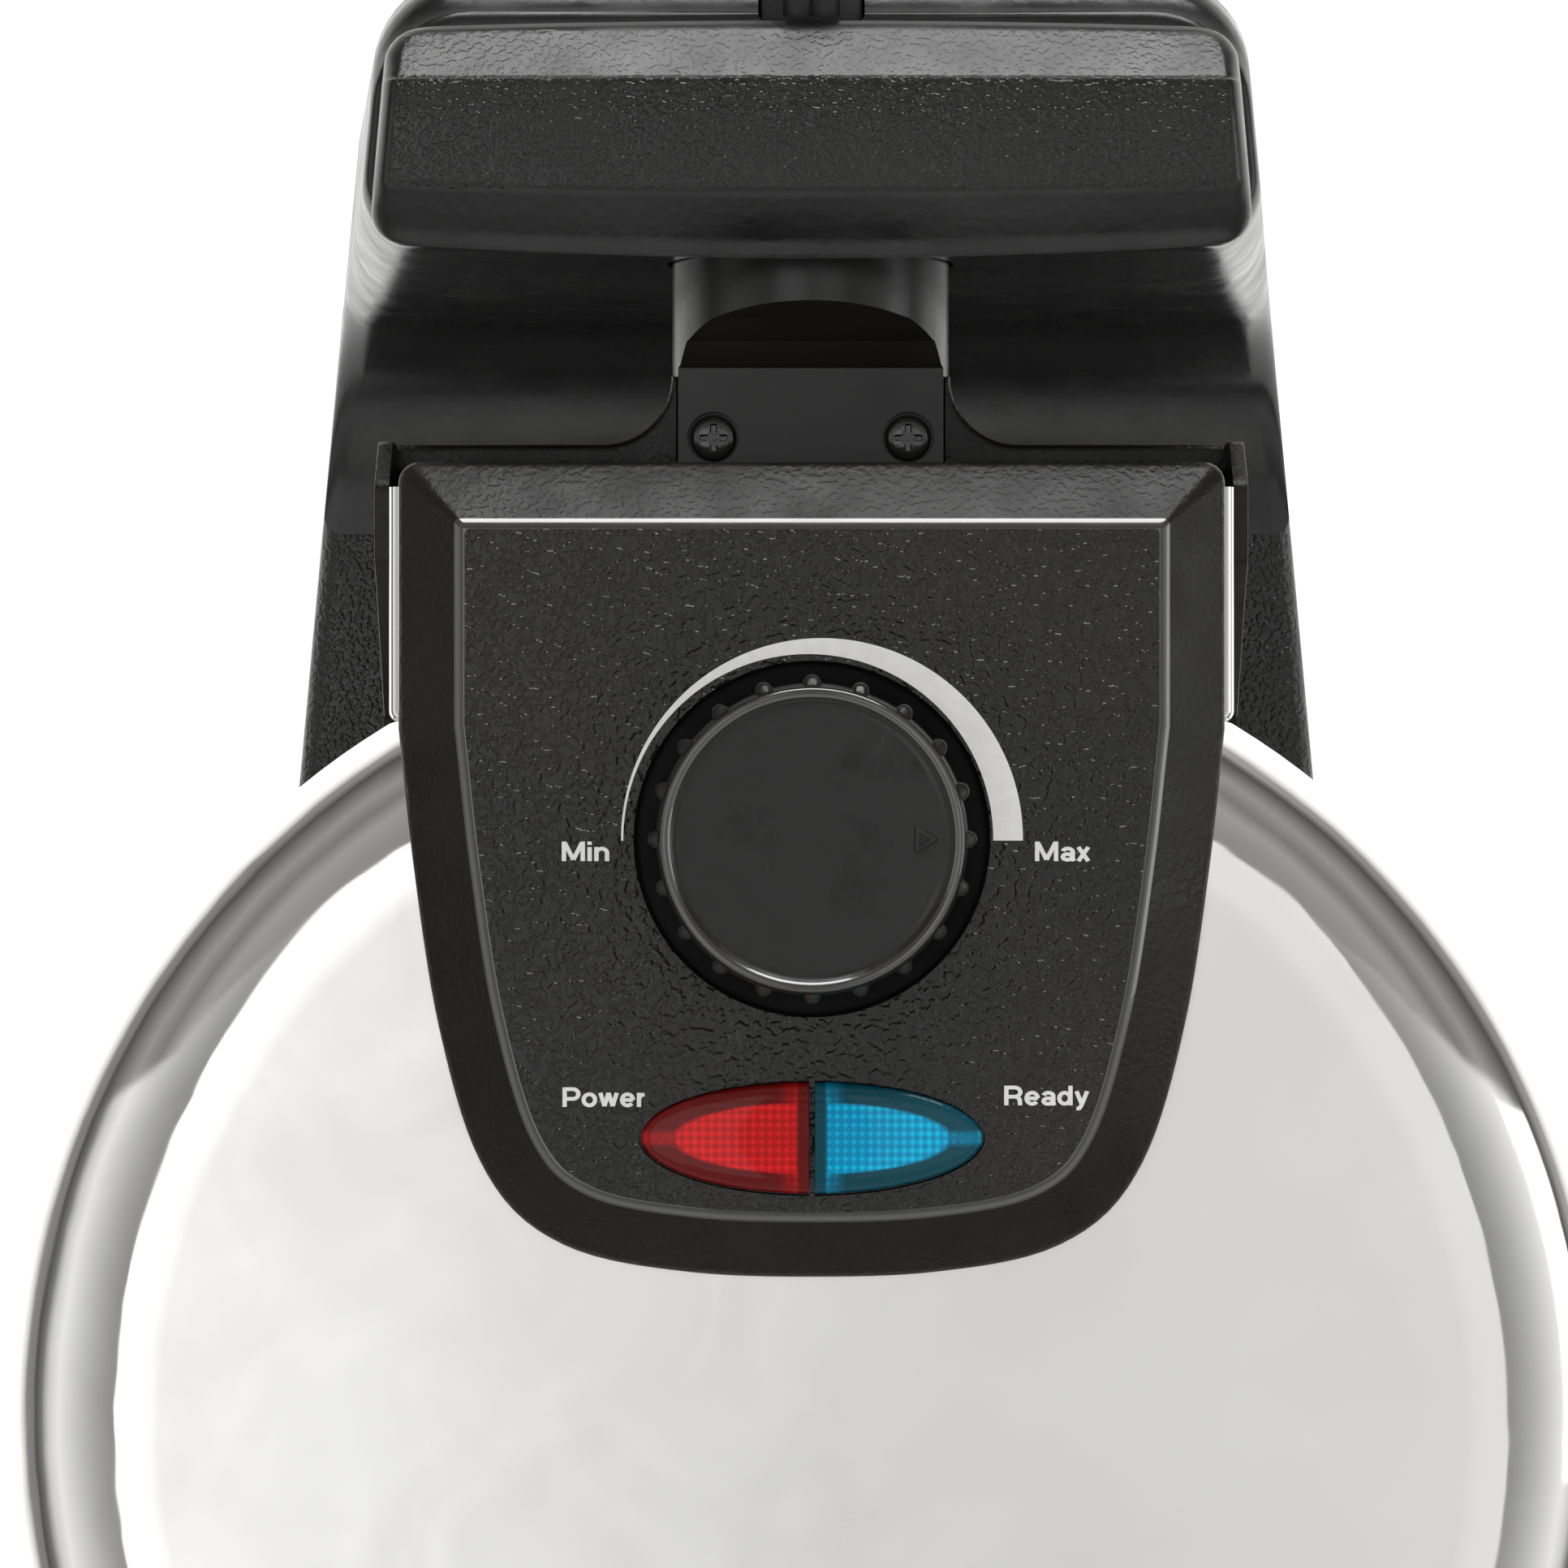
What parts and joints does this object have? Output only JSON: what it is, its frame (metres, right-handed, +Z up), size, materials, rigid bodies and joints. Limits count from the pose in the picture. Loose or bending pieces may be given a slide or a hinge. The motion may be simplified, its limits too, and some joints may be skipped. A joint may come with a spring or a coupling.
{
  "type": "donut maker",
  "caption": "Rotary donut maker: hinged round head with ring-cavity plates, turned over on a neck in an L-shaped stand, with dial, two lights, latch, drip tray and corded plug.",
  "frame": {"origin": "on the table, under the centre of the round head, which is the centre of the whole object's footprint without its cord", "axes": "+X right, +Y from the front handles to the stand's post, along the axis that the head turns about, +Z up"},
  "size_m": [0.2113, 0.524, 0.178],
  "materials": {
    "steel": "satin flat, bright polished shoulder",
    "shaft_steel": "plain bright steel",
    "screw_black": "blackened steel",
    "shield": "dull sheet",
    "grained_black": "fine leather grain, satin",
    "gloss_black": "smooth gloss",
    "stand_plastic": "fine spark texture, satin",
    "non_stick": "dark non-stick coating on cast aluminium",
    "rubber": "matt",
    "red_lens": "clear red, ribbed inside",
    "blue_lens": "clear blue, ribbed inside",
    "lamp_glass": "clear glass",
    "cord_black": "flexible vinyl",
    "brass": "bare",
    "nylon": "natural nylon",
    "ceramic": "unglazed ceramic"
  },
  "bodies": {
    "stand": {"base_housing": "stand_plastic", "base_plate": "stand_plastic", "base_screw_1": "shaft_steel", "base_screw_2": "shaft_steel", "base_screw_3": "shaft_steel", "base_screw_4": "shaft_steel", "foot_1": "rubber", "foot_2": "rubber", "foot_3": "rubber", "foot_4": "rubber", "post_housing": "stand_plastic", "post_rear_cover": "stand_plastic", "post_cap": "stand_plastic", "terminal_block": "nylon", "strain_relief": "rubber", "front_bush": "nylon", "rear_bush": "nylon", "bearing_carrier": "shield", "cord": "cord_black", "cord_coil": "cord_black", "cord_tail": "cord_black", "plug_body": "cord_black", "plug_blade_1": "brass", "plug_blade_2": "brass"},
    "tray": {"drip_tray": "stand_plastic"},
    "head": {"lower_plate": "non_stick", "lower_element": "shaft_steel", "lower_heat_shield": "shield", "lower_cover": "steel", "lower_housing": "grained_black", "lower_handle": "gloss_black", "lower_handle_screw": "shaft_steel", "hinge_pin": "shaft_steel", "neck_tube": "gloss_black", "neck_collar": "shaft_steel", "neck_screw_1": "screw_black", "neck_screw_2": "screw_black"},
    "lid": {"lid_shell": "steel", "lid_rim": "gloss_black", "control_panel": "grained_black", "thermostat": "ceramic", "power_lens": "red_lens", "ready_lens": "blue_lens", "power_lamp": "lamp_glass", "ready_lamp": "lamp_glass", "upper_plate": "non_stick", "upper_element": "shaft_steel", "upper_heat_shield": "shield", "upper_handle": "gloss_black", "upper_handle_screw": "shaft_steel", "lid_hinge_yoke": "gloss_black", "latch_pin": "shaft_steel"},
    "knob": {"knob": "gloss_black", "knob_spindle": "shaft_steel"},
    "latch": {"latch": "gloss_black"}
  },
  "joints": [
    {"name": "head_turn", "type": "hinge", "parent": "stand", "child": "head", "pos_m": [0, 0, 0.132], "axis": [0, 1, 0], "range_deg": [0, 180]},
    {"name": "lid_hinge", "type": "hinge", "parent": "head", "child": "lid", "pos_m": [0, 0.115, 0.146], "axis": [1, 0, 0], "range_deg": [-92, 0]},
    {"name": "knob_turn", "type": "hinge", "parent": "lid", "child": "knob", "pos_m": [0, 0.0747, 0.166], "axis": [0, 0, 1], "range_deg": [0, 180]},
    {"name": "latch_turn", "type": "hinge", "parent": "lid", "child": "latch", "pos_m": [0, -0.141, 0.141], "axis": [1, 0, 0], "range_deg": [0, 18]},
    {"name": "tray_slide", "type": "slide", "parent": "stand", "child": "tray", "axis": [0, -1, 0], "range_m": [0, 0.16]}
  ]
}
